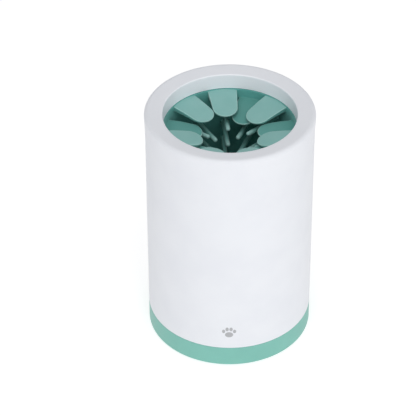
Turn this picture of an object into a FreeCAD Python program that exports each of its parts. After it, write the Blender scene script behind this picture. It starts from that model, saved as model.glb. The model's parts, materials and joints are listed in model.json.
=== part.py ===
"""Paw washer cup: a double-walled cup with a bristled silicone lining and a screwed base.

Millimetres, +Z up. The origin is the centre of the bottom, on the surface the cup stands on,
and the front faces -Y. Each sub-part is written to parts/NODE.step as its own solid or group.
"""

import FreeCAD, Part
import math
import os

# ---------------------------------------------------------------- driving dimensions
overall_height = 134.5      # floor to the top of the rim
rim_diameter = 88.0         # widest part of the rim
pin_count = 7               # soft pins in each row

# outer shell
rim_proud = 0.4             # how far the rim stands out from the straight body
rim_band = 12.0             # height over which the body widens into the rim
rim_edge_radius = 2.0       # rounding of the rim's outer edge
lip_drop = 1.0              # how far the lip falls from its outer to its inner edge
lip_wall = 2.2
lip_edge_radius = 0.9       # rounding of the lip's inner edge
shell_wall = 2.2
shell_foot_radius = 0.4     # rounding of the shell's lower outer edge
skirt_depth = 9.6           # rim top to the lower end of the lip's inner skirt
skirt_wall = 2.0
rib_count = 6               # ribs inside the shell that centre the sleeve
rib_thickness = 1.6
rib_start_gap = 1.0         # ribs start this far above the base's collar

# base
base_height = 12.0          # floor to the seam between base and shell
base_ground_gap = 0.2       # the base's outer wall stays this far off the floor
base_wall = 2.2
base_deck = 2.2             # thickness of the shoulder that the shell stands on
base_edge_radius = 0.8      # rounding of the base's lower outer edge
base_seam_radius = 0.4      # rounding of the base's upper outer edge
bowl_wall = 2.0
bowl_plate_bottom = 1.0     # underside of the bowl's floor
bowl_plate = 3.0            # thickness of the bowl's floor
ledge_rise = 1.0            # gasket seat above the seam
ledge_thickness = 2.0
collar_wall = 1.6
collar_lead = 0.5           # plain stretch of the collar above its thread
base_rib_count = 8
base_rib_thickness = 1.6
base_rib_rise = 0.8         # the base's ribs stop this far above its outer wall's lower edge

# thread between the base and the shell, right-handed
thread_pitch = 4.0
thread_turns = 1.25
thread_height = 1.0
thread_root_width = 1.6
thread_crest_width = 0.8
thread_gap = 0.4            # radial room between a crest and the facing wall
thread_embed = 0.3          # how deep a thread's root is sunk in its own wall
male_thread_start = 1.7     # centre of the male thread's lower end above the seam
female_thread_start = 1.2   # centre of the female thread's lower end above the seam

# foot ring
foot_width = 5.0
foot_inset = 0.5            # foot ring's outer edge inside the bowl's outer wall
foot_groove = 1.0           # depth of the groove that holds it
foot_edge_radius = 0.5

# sleeve, lining and gasket
running_gap = 0.3           # between the sleeve and the base's collar, which turn past each other
sleeve_wall = 1.5
sleeve_fit = 0.1            # between the lining and the sleeve
rib_fit = 0.15              # between the sleeve and the shell's ribs
liner_wall = 2.0
liner_top_flange = 1.7
liner_foot_flange = 1.5
gasket_thickness = 1.5
gasket_inset = 0.4          # gasket's bore outside the bowl's bore
gasket_edge_radius = 0.4

# petals, all hinged at their roots
petal_root_width = 15.0
petal_end_width = 12.0
petal_root_thickness = 2.6
petal_end_thickness = 1.0
petal_reach = 17.675        # hinge line to a petal's tip, seen from above
petal_hinge_gap = 0.3       # room round the petal's rounded root
petal_stub_thickness = 2.6
upper_petal_depth = 11.9    # rim top to the upper petals' hinge lines
lower_petal_depth = 16.2    # rim top to the lower petals' hinge lines
upper_petal_droop = 9.3     # degrees below horizontal
lower_petal_droop = 2.7
# where the petals stand, in degrees from +X towards +Y; their spacing is uneven
upper_petal_angles = (45.0, 97.0, 135.0, 197.0, 244.0, 297.0, 344.0)
lower_petal_angles = (69.0, 170.0, 221.0, 271.0, 321.0, 10.0)

# bristle pins
pin_diameter = 2.5
first_pin_angle = 44.6      # degrees from +X towards +Y
pin_tip_radius = 12.6       # distance from the cup's axis to a pin's tip
pin_row_count = 19          # rows, spaced evenly from the first to the lowest
pin_first_depth = 21.2      # rim top to the first row's centre
pin_floor_margin = 8.8      # lowest row's centre above the lining's lower end

# ---------------------------------------------------------------- sizes that follow
rim_radius = rim_diameter / 2
body_radius = rim_radius - rim_proud
shell_bore = body_radius - shell_wall
female_crest = shell_bore - thread_height
collar_outer = female_crest - thread_gap
male_crest = shell_bore - thread_gap
collar_inner = collar_outer - collar_wall
sleeve_outer = collar_inner - running_gap
sleeve_inner = sleeve_outer - sleeve_wall
liner_outer = sleeve_inner - sleeve_fit
mouth_radius = liner_outer - liner_wall

ledge_top = base_height + ledge_rise
gasket_top = ledge_top + gasket_thickness
sleeve_bottom = gasket_top + liner_foot_flange
liner_top = overall_height - skirt_depth
sleeve_top = liner_top - liner_top_flange
thread_rise = thread_pitch * thread_turns + thread_root_width / 2
collar_top = base_height + male_thread_start + thread_rise + collar_lead
lip_inner_top = overall_height - lip_drop
lip_underside = lip_inner_top - lip_wall
bowl_outer = mouth_radius + bowl_wall
bowl_floor = bowl_plate_bottom + bowl_plate

pin_turn = 360.0 / pin_count
half_pin_turn = pin_turn / 2
pin_radius = pin_diameter / 2
Z_AXIS = FreeCAD.Vector(0, 0, 1)
ORIGIN = FreeCAD.Vector(0, 0, 0)


# ---------------------------------------------------------------- helpers
def ring(inner, outer, bottom, top):
    """A plain ring, or a disc where inner is 0."""
    place = FreeCAD.Vector(0, 0, bottom)
    body = Part.makeCylinder(outer, top - bottom, place)
    if inner > 0:
        body = body.cut(Part.makeCylinder(inner, top - bottom, place))
    return body


def revolve(steps):
    """Turns an outline in the XZ plane about Z.

    A step is a point (r, z) reached by a straight line, or a pair of points, the middle and
    the end of an arc.
    """
    edges = []
    start = FreeCAD.Vector(steps[0][0], 0, steps[0][1])
    here = start
    for step in steps[1:] + [steps[0]]:
        if isinstance(step[0], tuple):
            middle = FreeCAD.Vector(step[0][0], 0, step[0][1])
            there = FreeCAD.Vector(step[1][0], 0, step[1][1])
            edges.append(Part.Arc(here, middle, there).toShape())
        else:
            there = FreeCAD.Vector(step[0], 0, step[1])
            edges.append(Part.LineSegment(here, there).toShape())
        here = there
    face = Part.Face(Part.Wire(edges))
    return face.revolve(ORIGIN, Z_AXIS, 360)


def corner_arc(corner, radius, start_angle, end_angle):
    """Middle and end points of a quarter arc about the point corner, angles in degrees."""
    middle_angle = math.radians((start_angle + end_angle) / 2)
    end = math.radians(end_angle)
    middle = (corner[0] + radius * math.cos(middle_angle), corner[1] + radius * math.sin(middle_angle))
    finish = (corner[0] + radius * math.cos(end), corner[1] + radius * math.sin(end))
    return (middle, finish)


def round_circles(shape, radius, height, rounding):
    """Rounds the full circles of the given radius that lie at the given height."""
    near = 0.01
    picked = []
    for edge in shape.Edges:
        curve = edge.Curve
        if not isinstance(curve, Part.Circle):
            continue
        if abs(curve.Radius - radius) < near and abs(curve.Center.z - height) < near:
            picked.append(edge)
    return shape.makeFillet(rounding, picked)


def turned(shape, degrees):
    """A copy turned about the cup's axis."""
    copy = shape.copy()
    copy.rotate(ORIGIN, Z_AXIS, degrees)
    return copy


def helical_ridge(root_radius, crest_radius, start_height, start_turns):
    """One trapezoid thread ridge, from start_turns on, whose centre starts at start_height."""
    outwards = 1 if crest_radius > root_radius else -1
    foot_radius = root_radius - outwards * thread_embed
    half_root = thread_root_width / 2
    half_crest = thread_crest_width / 2
    corners = [
        FreeCAD.Vector(foot_radius, 0, -half_root),
        FreeCAD.Vector(root_radius, 0, -half_root),
        FreeCAD.Vector(crest_radius, 0, -half_crest),
        FreeCAD.Vector(crest_radius, 0, half_crest),
        FreeCAD.Vector(root_radius, 0, half_root),
        FreeCAD.Vector(foot_radius, 0, half_root),
    ]
    profile = Part.makePolygon(corners + corners[:1])
    path = Part.Wire(Part.makeHelix(thread_pitch, thread_pitch * thread_turns, root_radius))
    ridge = path.makePipeShell([profile], True, True)
    ridge.rotate(ORIGIN, Z_AXIS, 360 * start_turns)
    ridge.translate(FreeCAD.Vector(0, 0, start_height))
    return ridge


def save(node, shape):
    """Writes one node, after checking that it is sound."""
    if not shape.isValid():
        raise ValueError(node + " is not a valid shape")
    shape.exportStep("parts/" + node + ".step")
    print(node, len(shape.Solids), "solid(s)", round(shape.Volume, 1), "mm3")


# ---------------------------------------------------------------- petals and their hinges
def petal_hinge_radius():
    """Distance from the axis to a hinge line, so that a petal's round root clears the lining."""
    bead = petal_root_thickness / 2
    half_width = petal_root_width / 2
    wall_at_corner = math.sqrt(mouth_radius**2 - half_width**2)
    return wall_at_corner - bead - petal_hinge_gap


def petal(depth, droop, angle):
    """A tapering tongue with a round root on its hinge line and a round tip."""
    hinge = petal_hinge_radius()
    height = overall_height - depth
    bead = petal_root_thickness / 2
    tip_half = petal_end_thickness / 2
    length = petal_reach / math.cos(math.radians(droop))
    end_half = petal_end_width / 2
    root_half = petal_root_width / 2
    # side view: a wedge whose faces leave the round root tangentially
    side = [
        FreeCAD.Vector(0, -root_half, bead),
        FreeCAD.Vector(0, -root_half, -bead),
        FreeCAD.Vector(-length, -root_half, -tip_half),
        FreeCAD.Vector(-length, -root_half, tip_half),
    ]
    wedge = Part.Face(Part.makePolygon(side + side[:1]))
    wedge = wedge.extrude(FreeCAD.Vector(0, petal_root_width, 0))
    # plan view: sides that draw in, then a round end
    arc_start = -length + end_half
    plan = [
        Part.LineSegment(FreeCAD.Vector(0, -root_half, 0), FreeCAD.Vector(arc_start, -end_half, 0)),
        Part.Arc(
            FreeCAD.Vector(arc_start, -end_half, 0),
            FreeCAD.Vector(-length, 0, 0),
            FreeCAD.Vector(arc_start, end_half, 0),
        ),
        Part.LineSegment(FreeCAD.Vector(arc_start, end_half, 0), FreeCAD.Vector(0, root_half, 0)),
        Part.LineSegment(FreeCAD.Vector(0, root_half, 0), FreeCAD.Vector(0, -root_half, 0)),
    ]
    outline = Part.Face(Part.Wire([edge.toShape() for edge in plan]))
    outline.translate(FreeCAD.Vector(0, 0, -petal_root_thickness))
    blank = outline.extrude(FreeCAD.Vector(0, 0, 2 * petal_root_thickness))
    root = Part.makeCylinder(bead, petal_root_width, FreeCAD.Vector(0, -root_half, 0), FreeCAD.Vector(0, 1, 0))
    tongue = wedge.common(blank).fuse(root).removeSplitter()
    tongue.rotate(ORIGIN, FreeCAD.Vector(0, 1, 0), -droop)
    tongue.translate(FreeCAD.Vector(hinge, 0, height))
    return turned(tongue, angle)


def petal_stub(depth, angle):
    """The fixed root that the lining keeps behind one petal, hollowed round the hinge line."""
    hinge = petal_hinge_radius()
    height = overall_height - depth
    half = petal_stub_thickness / 2
    root_half = petal_root_width / 2
    reach = mouth_radius + liner_wall / 2 - hinge
    block = Part.makeBox(
        reach,
        petal_root_width,
        petal_stub_thickness,
        FreeCAD.Vector(hinge, -root_half, height - half),
    )
    inside_wall = ring(0, mouth_radius + liner_wall / 2, height - half, height + half)
    socket_radius = petal_root_thickness / 2 + petal_hinge_gap
    socket = Part.makeCylinder(
        socket_radius,
        petal_root_width + 2,
        FreeCAD.Vector(hinge, -root_half - 1, height),
        FreeCAD.Vector(0, 1, 0),
    )
    return turned(block.common(inside_wall).cut(socket), angle)


# ---------------------------------------------------------------- bristle pins
def pin_row_heights():
    """Heights of the pin rows' centres, from the top down."""
    first = overall_height - pin_first_depth
    lowest = gasket_top + pin_floor_margin
    pitch = (first - lowest) / (pin_row_count - 1)
    return [first - pitch * i for i in range(pin_row_count)]


def pin_angles(row):
    """Angles of one row's pins; every other row stands half a turn between pins further round."""
    return [first_pin_angle + half_pin_turn * (row % 2) + pin_turn * i for i in range(pin_count)]


def pin_row(height, row):
    """One row of round-ended pins that point at the cup's axis."""
    end_centre = pin_tip_radius + pin_radius
    length = mouth_radius + pin_radius - end_centre
    shaft = Part.makeCylinder(
        pin_radius, length, FreeCAD.Vector(end_centre, 0, height), FreeCAD.Vector(1, 0, 0)
    )
    end = Part.makeSphere(pin_radius, FreeCAD.Vector(end_centre, 0, height))
    pin = shaft.fuse(end).removeSplitter()
    inside = ring(0, mouth_radius, height - pin_diameter, height + pin_diameter)
    pin = pin.common(inside)
    return Part.makeCompound([turned(pin, angle) for angle in pin_angles(row)])


# ---------------------------------------------------------------- sub-parts
def outer_shell():
    """White tube with its turned-in lip, inner skirt, centring ribs and inside thread."""
    outline = [
        (body_radius, base_height),
        (body_radius, overall_height - rim_band),
        (rim_radius, overall_height - rim_edge_radius),
        corner_arc((rim_radius - rim_edge_radius, overall_height - rim_edge_radius), rim_edge_radius, 0, 90),
        (mouth_radius + lip_edge_radius, lip_inner_top),
        corner_arc((mouth_radius + lip_edge_radius, lip_inner_top - lip_edge_radius), lip_edge_radius, 90, 180),
        (mouth_radius, liner_top),
        (mouth_radius + skirt_wall, liner_top),
        (mouth_radius + skirt_wall, lip_underside),
        (shell_bore, lip_underside),
        (shell_bore, base_height),
    ]
    shell = revolve(outline)
    shell = round_circles(shell, body_radius, base_height, shell_foot_radius)
    rib_bottom = collar_top + rib_start_gap
    rib_inner = sleeve_outer + rib_fit
    rib_top = sleeve_top
    blank = ring(rib_inner, shell_bore + shell_wall / 2, rib_bottom, rib_top)
    for index in range(rib_count):
        bar = Part.makeBox(
            body_radius,
            rib_thickness,
            rib_top - rib_bottom,
            FreeCAD.Vector(0, -rib_thickness / 2, rib_bottom),
        )
        shell = shell.fuse(turned(bar.common(blank), 360.0 * index / rib_count))
    # the female thread's centre line lies half a pitch from the male thread's
    lag = (male_thread_start - female_thread_start) / thread_pitch
    ridge = helical_ridge(shell_bore, female_crest, base_height + female_thread_start, 0.5 - lag)
    return shell.fuse(ridge)


def base_cap():
    """Screwed base: outer wall, shoulder, gasket seat, bowl, threaded collar and ribs."""
    cap = ring(body_radius - base_wall, body_radius, base_ground_gap, base_height)
    cap = cap.fuse(ring(collar_inner, body_radius, base_height - base_deck, base_height))
    cap = cap.fuse(ring(collar_inner, collar_outer, base_height - base_deck, collar_top))
    cap = cap.fuse(ring(mouth_radius, collar_outer, ledge_top - ledge_thickness, ledge_top))
    cap = cap.fuse(ring(mouth_radius, bowl_outer, bowl_plate_bottom, ledge_top))
    cap = cap.fuse(ring(0, bowl_outer, bowl_plate_bottom, bowl_floor))
    rib_bottom = base_ground_gap + base_rib_rise
    blank = ring(bowl_outer - bowl_wall / 2, body_radius - base_wall / 2, rib_bottom, base_height - base_deck / 2)
    for index in range(base_rib_count):
        bar = Part.makeBox(
            body_radius,
            base_rib_thickness,
            base_height,
            FreeCAD.Vector(0, -base_rib_thickness / 2, 0),
        )
        cap = cap.fuse(turned(bar.common(blank), 360.0 * index / base_rib_count))
    cap = cap.removeSplitter()
    cap = cap.cut(ring(*foot_radii(), bowl_plate_bottom, bowl_plate_bottom + foot_groove))
    cap = round_circles(cap, body_radius, base_ground_gap, base_edge_radius)
    cap = round_circles(cap, body_radius, base_height, base_seam_radius)
    return cap.fuse(helical_ridge(collar_outer, male_crest, base_height + male_thread_start, 0))


def foot_radii():
    """Inner and outer radius of the foot ring."""
    outer = bowl_outer - foot_inset
    return (outer - foot_width, outer)


def foot_ring():
    """Soft ring that the cup stands on."""
    inner, outer = foot_radii()
    foot = ring(inner, outer, 0, bowl_plate_bottom + foot_groove)
    foot = round_circles(foot, outer, 0, foot_edge_radius)
    return round_circles(foot, inner, 0, foot_edge_radius)


def base_gasket():
    """Flat ring between the base's ledge and the lining's foot flange."""
    inner = mouth_radius + gasket_inset
    gasket = ring(inner, sleeve_outer, ledge_top, gasket_top)
    return round_circles(gasket, inner, ledge_top, gasket_edge_radius)


def inner_sleeve():
    """Stiff tube that carries the soft lining."""
    return ring(sleeve_inner, sleeve_outer, sleeve_bottom, sleeve_top)


def brush_liner():
    """Soft lining: a tube with a flange at each end and a fixed root for every petal."""
    liner = ring(mouth_radius, liner_outer, gasket_top, liner_top)
    liner = liner.fuse(ring(mouth_radius, sleeve_outer, sleeve_top, liner_top))
    liner = liner.fuse(ring(mouth_radius, sleeve_outer, gasket_top, sleeve_bottom))
    for angle in upper_petal_angles:
        liner = liner.fuse(petal_stub(upper_petal_depth, angle))
    for angle in lower_petal_angles:
        liner = liner.fuse(petal_stub(lower_petal_depth, angle))
    return liner.removeSplitter()


def main():
    """Builds and writes every node."""
    os.makedirs("parts", exist_ok=True)
    save("outer_shell", outer_shell())
    save("inner_sleeve", inner_sleeve())
    save("brush_liner", brush_liner())
    save("base_cap", base_cap())
    save("base_gasket", base_gasket())
    save("foot_ring", foot_ring())
    for index, angle in enumerate(upper_petal_angles, 1):
        save("upper_petal_%d" % index, petal(upper_petal_depth, upper_petal_droop, angle))
    for index, angle in enumerate(lower_petal_angles, 1):
        save("lower_petal_%d" % index, petal(lower_petal_depth, lower_petal_droop, angle))
    for index, height in enumerate(pin_row_heights()):
        save("bristle_row_%02d" % (index + 1), pin_row(height, index))
    print("mouth radius", mouth_radius, "hinge radius", round(petal_hinge_radius(), 3))


main()
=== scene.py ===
"""Paw washer cup: the visible pieces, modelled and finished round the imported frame.

Lengths are in metres. The cup stands on Z = 0 with its axis on Z and its front facing -Y.
"""

from __future__ import annotations

import json
import logging
import math
import random
from dataclasses import dataclass, field
from enum import Enum
from typing import Any, Callable, Sequence

import bmesh
import bpy
from mathutils import Matrix, Vector

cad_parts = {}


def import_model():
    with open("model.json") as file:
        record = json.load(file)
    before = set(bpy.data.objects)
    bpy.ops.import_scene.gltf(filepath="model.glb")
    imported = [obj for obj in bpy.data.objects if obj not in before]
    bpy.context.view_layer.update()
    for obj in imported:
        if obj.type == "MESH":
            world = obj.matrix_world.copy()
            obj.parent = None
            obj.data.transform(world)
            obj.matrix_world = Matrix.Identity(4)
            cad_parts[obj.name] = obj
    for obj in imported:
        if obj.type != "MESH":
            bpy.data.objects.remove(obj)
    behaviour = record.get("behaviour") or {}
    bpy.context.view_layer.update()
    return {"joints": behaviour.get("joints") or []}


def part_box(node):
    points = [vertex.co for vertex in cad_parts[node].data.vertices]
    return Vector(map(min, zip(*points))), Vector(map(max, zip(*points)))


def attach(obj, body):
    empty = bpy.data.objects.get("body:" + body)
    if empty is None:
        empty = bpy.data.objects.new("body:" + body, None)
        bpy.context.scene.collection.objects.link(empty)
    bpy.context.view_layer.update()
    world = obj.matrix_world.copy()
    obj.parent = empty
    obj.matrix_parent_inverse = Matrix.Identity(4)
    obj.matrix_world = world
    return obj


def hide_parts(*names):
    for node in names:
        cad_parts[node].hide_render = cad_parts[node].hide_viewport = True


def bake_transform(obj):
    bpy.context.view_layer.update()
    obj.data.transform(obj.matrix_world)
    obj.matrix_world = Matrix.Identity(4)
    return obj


MM = 0.001
NEAR = 0.02 * MM
X, Z = 0, 2  # axis numbers
RING_SEGMENTS = 192
HIDDEN_RING_SEGMENTS = 128
RAND_SEED = 41
# Names of the point values for the petals' painted edge highlight and the lower row's painted shade.
EDGE_HIGHLIGHT_VALUES = "painted_edge_highlight"
PAINTED_SHADE_VALUES = "painted_row_shade"

log = logging.getLogger("paw_washer_cup")

Piece = bpy.types.Object
Edge = bmesh.types.BMEdge
Colour = tuple[float, float, float]
PointTest = Callable[[Vector], bool]
EdgeTest = Callable[[Edge], bool]


# ---- modelling moves
def points_near(axis: int, value: float) -> PointTest:
    """A test for points that lie at one value on an axis."""
    return lambda co: abs(co[axis] - value) < NEAR


def edges_near(axis: int, value: float, along_y: bool = True) -> EdgeTest:
    """A test for edges that lie at one value on an axis.

    Args:
        axis: The axis's number.
        value: Where both ends of the edge lie on it.
        along_y: Whether edges that run across Y are wanted too.

    Returns:
        The test.
    """
    at_value = points_near(axis, value)

    def wanted(edge: Edge) -> bool:
        """Whether one edge passes."""
        start, end = (point.co for point in edge.verts)
        return at_value(start) and at_value(end) and (along_y or abs(start.y - end.y) < NEAR)

    return wanted


class Bench:
    """Modelling moves that every piece is made with."""

    @staticmethod
    def clear() -> None:
        """Leaves edit mode and deselects everything."""
        active = bpy.context.view_layer.objects.active
        if active is not None and active.mode != "OBJECT":
            bpy.ops.object.mode_set(mode="OBJECT")
        bpy.ops.object.select_all(action="DESELECT")

    @staticmethod
    def take(piece: Piece) -> None:
        """Makes one object the only selected one."""
        Bench.clear()
        piece.select_set(True)
        bpy.context.view_layer.objects.active = piece

    @staticmethod
    def edit(piece: Piece) -> None:
        """Takes one object into edit mode."""
        Bench.take(piece)
        bpy.ops.object.mode_set(mode="EDIT")

    @staticmethod
    def settle(piece: Piece, name: str) -> Piece:
        """Names the selected object and puts its place, turn and scale into its mesh.

        Args:
            piece: The object.
            name: Its new name.

        Returns:
            The same object.
        """
        bpy.ops.object.transform_apply(location=True, rotation=True, scale=True)
        piece.name = name
        piece.data.name = name
        return piece

    @staticmethod
    def pick_points(piece: Piece, test: PointTest) -> None:
        """Selects the points that pass a test, in edit mode.

        Args:
            piece: The object being edited.
            test: Tells from a point's place whether it is wanted.
        """
        bpy.ops.mesh.select_mode(type="VERT")
        bpy.ops.mesh.select_all(action="DESELECT")
        mesh = bmesh.from_edit_mesh(piece.data)
        for point in mesh.verts:
            if test(point.co):
                point.select_set(True)
        mesh.select_flush(True)
        bmesh.update_edit_mesh(piece.data)

    @staticmethod
    def pick_edges(piece: Piece, test: EdgeTest) -> int:
        """Selects the edges that pass a test, in edit mode.

        Args:
            piece: The object being edited.
            test: Tells from an edge whether it is wanted.

        Returns:
            How many edges were selected.
        """
        bpy.ops.mesh.select_mode(type="EDGE")
        bpy.ops.mesh.select_all(action="DESELECT")
        mesh = bmesh.from_edit_mesh(piece.data)
        mesh.normal_update()
        wanted = [edge for edge in mesh.edges if test(edge)]
        for edge in wanted:
            edge.select_set(True)
        bmesh.update_edit_mesh(piece.data)
        return len(wanted)

    @staticmethod
    def finish(piece: Piece, sharp_degrees: float = 35.0, weighted: bool = True) -> None:
        """Recalculates the normals and shades the piece smooth.

        Args:
            piece: The finished mesh.
            sharp_degrees: Edges that turn by more than this stay sharp.
            weighted: Whether large faces keep flat shading next to their bevels.
        """
        Bench.edit(piece)
        bpy.ops.mesh.select_all(action="SELECT")
        bpy.ops.mesh.normals_make_consistent(inside=False)
        bpy.ops.object.mode_set(mode="OBJECT")
        bpy.ops.object.shade_smooth_by_angle(angle=math.radians(sharp_degrees))
        if weighted:
            Bench.apply(piece, "WEIGHTED_NORMAL", keep_sharp=True, weight=60)
        Bench.clear()

    @staticmethod
    def apply(piece: Piece, kind: str, **settings: Any) -> None:
        """Adds a modifier with these settings and applies it.

        Args:
            piece: The object it works on.
            kind: Blender's name for the modifier's type.
            **settings: The modifier's own settings.
        """
        Bench.take(piece)
        modifier = piece.modifiers.new(kind.lower(), kind)
        for name, value in settings.items():
            setattr(modifier, name, value)
        bpy.ops.object.modifier_apply(modifier=modifier.name)

    @staticmethod
    def unite(piece: Piece, tool: Piece) -> None:
        """Fuses a second closed mesh into the piece and removes it."""
        Bench.apply(piece, "BOOLEAN", operation="UNION", solver="EXACT", object=tool)
        bpy.data.objects.remove(tool)

    @staticmethod
    def join(pieces: Sequence[Piece], name: str) -> Piece:
        """Joins several objects into the first one.

        Args:
            pieces: The objects.
            name: The joined object's name.

        Returns:
            The joined object.
        """
        Bench.clear()
        for piece in pieces:
            piece.select_set(True)
        bpy.context.view_layer.objects.active = pieces[0]
        bpy.ops.object.join()
        pieces[0].name = name
        pieces[0].data.name = name
        return pieces[0]

    @staticmethod
    def copy(piece: Piece, name: str) -> Piece:
        """A copy with its own mesh.

        Args:
            piece: What is copied.
            name: The copy's name.

        Returns:
            The copy, selected.
        """
        Bench.take(piece)
        bpy.ops.object.duplicate()
        made = bpy.context.view_layer.objects.active
        made.name = made.data.name = name
        return made

    @staticmethod
    def turn(piece: Piece, angle: float) -> Piece:
        """Turns an object's mesh about the cup's axis.

        Args:
            piece: The object.
            angle: The turn about Z, in radians.

        Returns:
            The same object.
        """
        Bench.take(piece)
        piece.rotation_euler = (0, 0, angle)
        return Bench.settle(piece, piece.name)

    @staticmethod
    def block(name: str, centre: Sequence[float], size: Sequence[float]) -> Piece:
        """A box with its centre and size in its mesh.

        Args:
            name: The box's name.
            centre: Its middle.
            size: Its length on each axis.

        Returns:
            The box.
        """
        Bench.clear()
        bpy.ops.mesh.primitive_cube_add(size=1, location=centre)
        bpy.context.object.scale = size
        return Bench.settle(bpy.context.object, name)


@dataclass(frozen=True)
class Corner:
    """One corner of a turned outline, with how far it is rounded."""

    radius: float
    height: float
    rounding: float = 0.0
    steps: int = 3


class Lathe:
    """Makes a round piece from its outline, ring by ring."""

    @staticmethod
    def turn(name: str, outline: Sequence[Corner], segments: int = RING_SEGMENTS) -> Piece:
        """Extrudes a circle from corner to corner of a closed outline, then rounds the corners.

        An outline whose first and last corners have no radius is closed on the axis.

        Args:
            name: The piece's name.
            outline: The corners in order.
            segments: How many sides the circle has.

        Returns:
            The piece, still to be finished.
        """
        on_axis = outline[0].radius == 0
        rings = [corner for corner in outline if corner.radius > 0]
        Bench.clear()
        bpy.ops.mesh.primitive_circle_add(
            vertices=segments, radius=rings[0].radius, fill_type="NOTHING",
            location=(0, 0, rings[0].height),
        )
        piece = Bench.settle(bpy.context.object, name)
        Bench.edit(piece)
        bpy.ops.mesh.select_mode(type="EDGE")
        bpy.ops.mesh.select_all(action="SELECT")
        path = rings if on_axis else rings + rings[:1]
        for here, there in zip(path, path[1:]):
            Lathe._step(here, there)
        if on_axis:
            Lathe._close_on_axis(outline[-1].height - rings[-1].height)
            Lathe._pick_ring(piece, rings[0])
            Lathe._close_on_axis(outline[0].height - rings[0].height)
        bpy.ops.mesh.select_all(action="SELECT")
        bpy.ops.mesh.remove_doubles(threshold=NEAR / 10)
        bpy.ops.mesh.normals_make_consistent(inside=False)
        Lathe._round_corners(piece, outline, rings)
        bpy.ops.object.mode_set(mode="OBJECT")
        return piece

    @staticmethod
    def _step(here: Corner, there: Corner) -> None:
        """Extrudes the selected ring to the next corner.

        Args:
            here: The corner that the ring is at.
            there: The corner that it goes to.
        """
        rise = (0, 0, there.height - here.height)
        bpy.ops.mesh.extrude_edges_move(TRANSFORM_OT_translate={"value": rise})
        grow = there.radius / here.radius
        bpy.ops.transform.resize(value=(grow, grow, 1), center_override=(0, 0, there.height))

    @staticmethod
    def _close_on_axis(rise: float) -> None:
        """Extrudes the selected ring and gathers it into one point on the axis."""
        bpy.ops.mesh.extrude_edges_move(TRANSFORM_OT_translate={"value": (0, 0, rise)})
        bpy.ops.mesh.merge(type="CENTER")

    @staticmethod
    def _pick_ring(piece: Piece, corner: Corner) -> int:
        """Selects the full circle of edges at one corner.

        Args:
            piece: The object being edited.
            corner: The corner.

        Returns:
            How many edges were selected.
        """

        def on_ring(edge: Edge) -> bool:
            """Whether both ends of an edge are at the corner."""
            return all(
                abs(point.co.z - corner.height) < NEAR
                and abs(math.hypot(point.co.x, point.co.y) - corner.radius) < NEAR
                for point in edge.verts
            )

        return Bench.pick_edges(piece, on_ring)

    @staticmethod
    def _round_corners(piece: Piece, outline: Sequence[Corner], rings: Sequence[Corner]) -> None:
        """Bevels each corner that has a rounding, by its own radius.

        Args:
            piece: The object being edited.
            outline: Every corner in order.
            rings: The corners that are off the axis.
        """
        count = len(outline)
        for index, corner in enumerate(outline):
            if corner.rounding <= 0 or corner not in rings:
                continue
            before, after = outline[index - 1], outline[(index + 1) % count]
            inwards = Vector((corner.radius - before.radius, corner.height - before.height))
            outwards = Vector((after.radius - corner.radius, after.height - corner.height))
            turn = inwards.angle(outwards)
            if Lathe._pick_ring(piece, corner) == 0:
                raise RuntimeError(f"{piece.name} has no ring at {corner}")
            bpy.ops.mesh.bevel(
                offset=corner.rounding * math.tan(turn / 2), offset_type="OFFSET",
                segments=corner.steps, profile=0.5, affect="EDGES", clamp_overlap=False,
            )


@dataclass(frozen=True)
class Thread:
    """A trapezoid thread ridge on a round wall."""

    root_radius: float
    crest_radius: float
    start_height: float
    start_turns: float
    pitch: float = 4.0 * MM
    turns: float = 1.25
    root_width: float = 1.6 * MM
    crest_width: float = 0.8 * MM
    embed: float = 0.3 * MM
    steps: int = 96
    lead_scale: float = 0.55

    def build(self, name: str) -> Piece:
        """Sweeps the section up its helix and closes both ends.

        Args:
            name: The ridge's name.

        Returns:
            A closed ridge, ready to be fused to its wall.
        """
        away = 1 if self.crest_radius > self.root_radius else -1
        foot = self.root_radius - away * self.embed
        depth = abs(self.crest_radius - foot)
        middle = (self.crest_radius + foot) / 2
        Bench.clear()
        bpy.ops.mesh.primitive_plane_add(
            size=1, location=(middle, 0, self.start_height), rotation=(math.pi / 2, 0, 0)
        )
        bpy.context.object.scale = (depth, self.root_width, 1)
        ridge = Bench.settle(bpy.context.object, name)
        Bench.edit(ridge)
        crest = self.crest_radius
        Bench.pick_points(ridge, points_near(X, crest))
        narrow = (1, 1, self.crest_width / self.root_width)
        bpy.ops.transform.resize(value=narrow, center_override=(crest, 0, self.start_height))
        bpy.ops.mesh.select_all(action="SELECT")
        bpy.ops.mesh.delete(type="ONLY_FACE")
        bpy.ops.object.mode_set(mode="OBJECT")
        steps = int(self.steps * self.turns)
        Bench.apply(
            ridge, "SCREW", axis="Z", angle=2 * math.pi * self.turns,
            screw_offset=self.pitch * self.turns, steps=steps, render_steps=steps,
            use_merge_vertices=False,
        )
        Bench.edit(ridge)
        self._close_end(ridge, 0.0)
        self._close_end(ridge, self.turns)
        bpy.ops.mesh.select_all(action="SELECT")
        bpy.ops.mesh.normals_make_consistent(inside=False)
        bpy.ops.object.mode_set(mode="OBJECT")
        return Bench.turn(ridge, 2 * math.pi * self.start_turns)

    def _close_end(self, ridge: Piece, turns: float) -> None:
        """Fills one end of the ridge and draws it in for a lead.

        Args:
            ridge: The ridge being edited.
            turns: How many turns up the helix the end is.
        """
        angle = 2 * math.pi * turns
        across = Vector((-math.sin(angle), math.cos(angle), 0))
        along = Vector((math.cos(angle), math.sin(angle), 0))
        height = self.start_height + self.pitch * turns
        reach = self.root_width

        def at_end(co: Vector) -> bool:
            """Whether a point belongs to the end's section."""
            return abs(co.dot(across)) < NEAR and co.dot(along) > 0 and abs(co.z - height) < reach

        Bench.pick_points(ridge, at_end)
        bpy.ops.mesh.edge_face_add()
        bpy.ops.transform.resize(value=(1, 1, self.lead_scale), center_override=(0, 0, height))


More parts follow.
